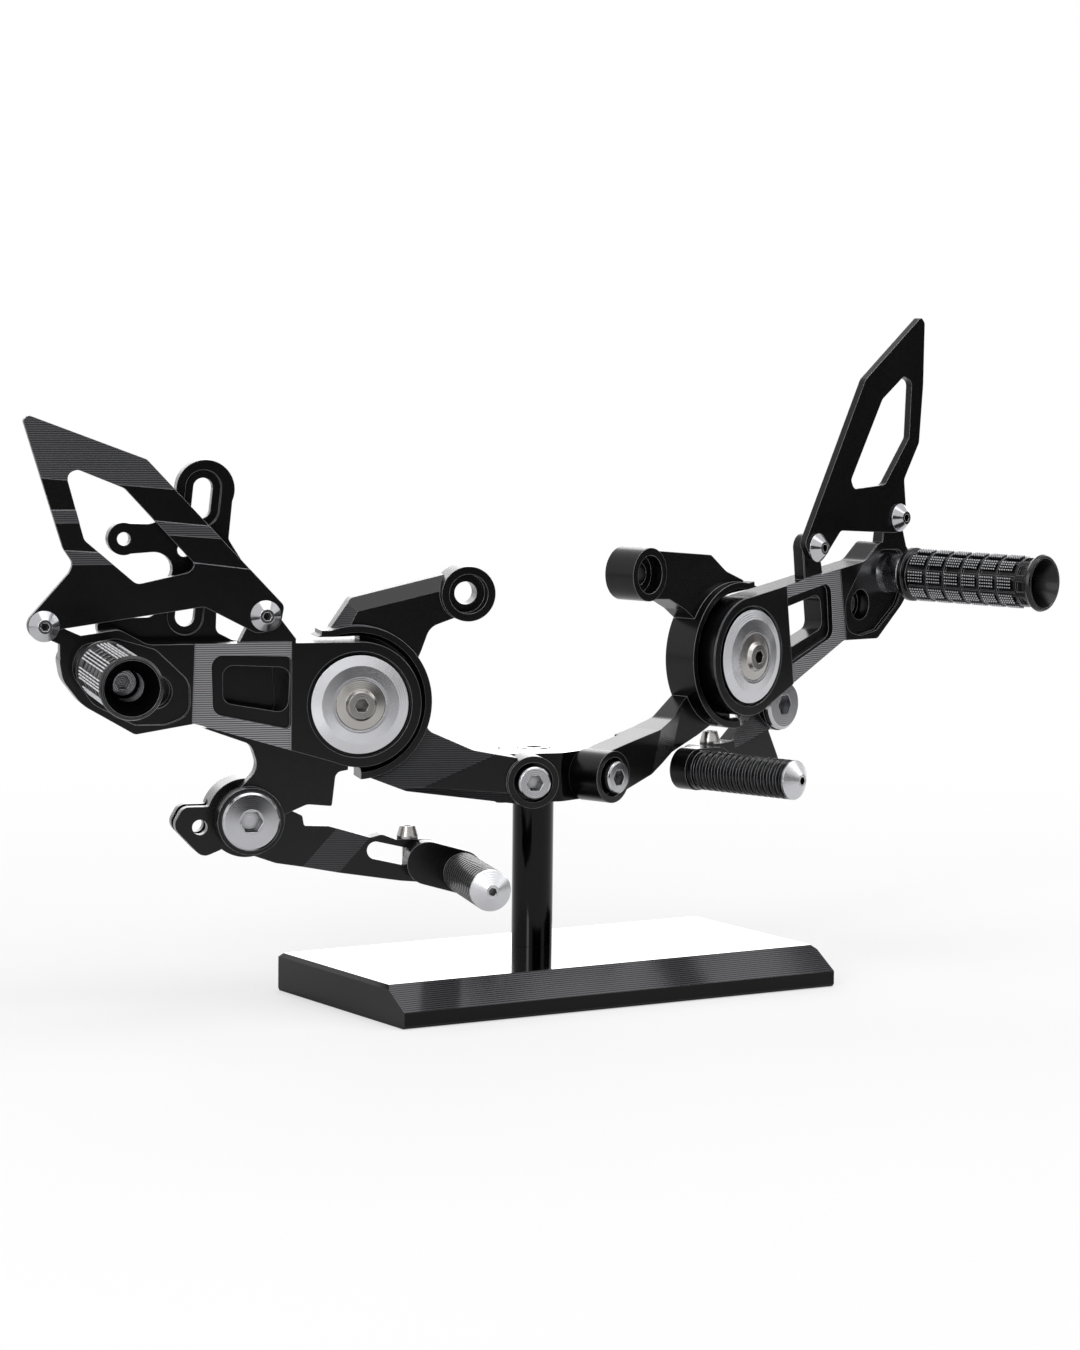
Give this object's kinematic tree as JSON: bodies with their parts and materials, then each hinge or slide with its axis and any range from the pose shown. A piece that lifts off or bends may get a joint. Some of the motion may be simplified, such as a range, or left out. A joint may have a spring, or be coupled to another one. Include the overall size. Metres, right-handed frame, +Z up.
{
  "type": "motorcycle rearset",
  "caption": "Adjustable rear-set footrests with brake and shift levers, heel guards, cover discs and ribbed footpegs, shown on a display stand.",
  "frame": {"origin": "centre of the base plate's underside", "axes": "+X to the shift side, +Y to the back of the stand, +Z up"},
  "size_m": [0.4469, 0.1106, 0.2662],
  "materials": {
    "anodised_black": "satin black anodised, milled",
    "stand_black": "glossy black anodised",
    "turned_aluminium": "fine turned, clear anodised",
    "screw_steel": "stainless steel, machined",
    "titanium": "bare titanium, turned",
    "collar_grey": "grey anodised, turned",
    "bronze": "sintered bronze"
  },
  "bodies": {
    "rearsets": {"base_plate": "stand_black", "stand_post": "stand_black", "post_screw": "screw_steel", "head_block": "stand_black", "head_screw": "screw_steel", "brake_frame_plate": "anodised_black", "brake_mount_screw": "screw_steel", "brake_peg_arm": "anodised_black", "brake_cover_disc": "turned_aluminium", "brake_centre_bolt": "titanium", "brake_heel_guard": "anodised_black", "brake_guard_screws": "screw_steel", "cylinder_bracket": "anodised_black", "bracket_screws": "screw_steel", "brake_peg_collar": "collar_grey", "brake_footpeg": "anodised_black", "brake_peg_bolt": "screw_steel", "brake_pivot_bolt": "screw_steel", "brake_pivot_nut": "screw_steel", "shift_frame_plate": "anodised_black", "shift_mount_screw": "screw_steel", "shift_peg_arm": "anodised_black", "shift_cover_disc": "turned_aluminium", "shift_centre_bolt": "titanium", "shift_heel_guard": "anodised_black", "shift_guard_screws": "screw_steel", "shift_carrier": "anodised_black", "carrier_screws": "screw_steel", "shift_peg_collar": "collar_grey", "shift_footpeg": "anodised_black", "shift_peg_bolt": "screw_steel", "shift_pivot_bolt": "screw_steel", "shift_pivot_nut": "screw_steel"},
    "brake_pedal": {"brake_lever": "anodised_black", "brake_lever_bushes": "bronze", "brake_toe_link": "anodised_black", "brake_link_screw": "screw_steel", "brake_toe_peg": "anodised_black", "brake_toe_cone": "turned_aluminium", "brake_lock_screw": "titanium"},
    "shift_pedal": {"shift_lever": "anodised_black", "shift_lever_bushes": "bronze", "shift_toe_link": "anodised_black", "shift_link_screw": "screw_steel", "shift_toe_peg": "anodised_black", "shift_toe_cone": "turned_aluminium", "shift_lock_screw": "titanium"}
  },
  "joints": [
    {"name": "brake_pivot", "type": "hinge", "parent": "rearsets", "child": "brake_pedal", "pos_m": [-0.12209, 0.03883, 0.0727], "axis": [-0.309, -0.9511, 0], "range_deg": [-14, 3]},
    {"name": "shift_pivot", "type": "hinge", "parent": "rearsets", "child": "shift_pedal", "pos_m": [0.12891, 0.03758, 0.1048], "axis": [0.309, -0.9511, 0], "range_deg": [-1.5, 12]}
  ]
}
